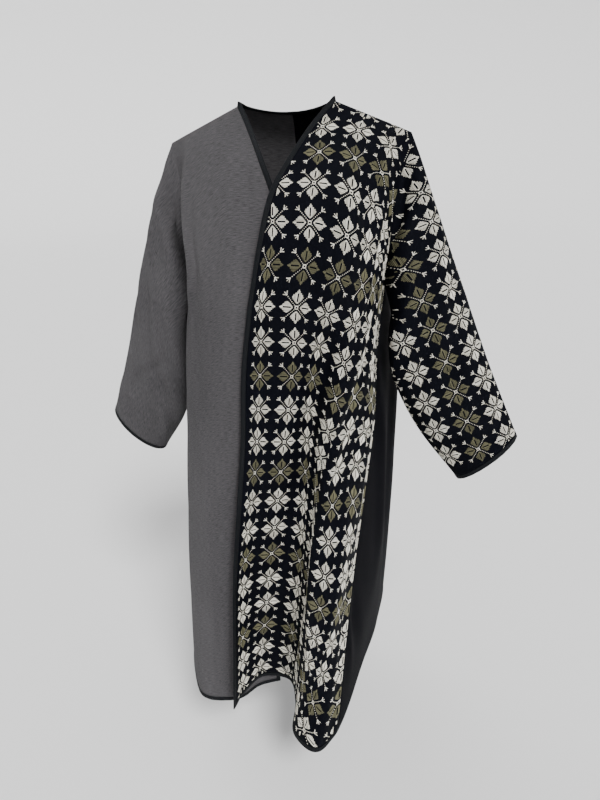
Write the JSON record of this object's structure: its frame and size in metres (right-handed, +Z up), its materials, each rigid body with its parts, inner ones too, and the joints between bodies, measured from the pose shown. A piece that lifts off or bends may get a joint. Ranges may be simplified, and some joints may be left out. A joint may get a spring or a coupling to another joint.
{
  "type": "abaya",
  "caption": "Open-front abaya with kimono-cut sleeves: grey twill on one half, geometric flower embroidery on the other front, dark bindings.",
  "frame": {"origin": "midway between the high shoulder points, where the garment is held", "axes": "+Z up along the garment, front towards -Y, wearer's left towards +X"},
  "size_m": [0.949, 0.5665, 1.2396],
  "materials": {
    "grey_twill": "matte",
    "embroidered_crepe": "matte",
    "black_crepe": "matte",
    "binding_tape": "satin"
  },
  "bodies": {
    "root": {"front_left": "embroidered_crepe", "back_left": "black_crepe", "front_right": "grey_twill", "back_right": "grey_twill", "edge_binding_left": "binding_tape", "hem_binding_left": "binding_tape", "cuff_binding_left": "binding_tape", "edge_binding_right": "binding_tape", "hem_binding_right": "binding_tape", "cuff_binding_right": "binding_tape"}
  },
  "joints": []
}
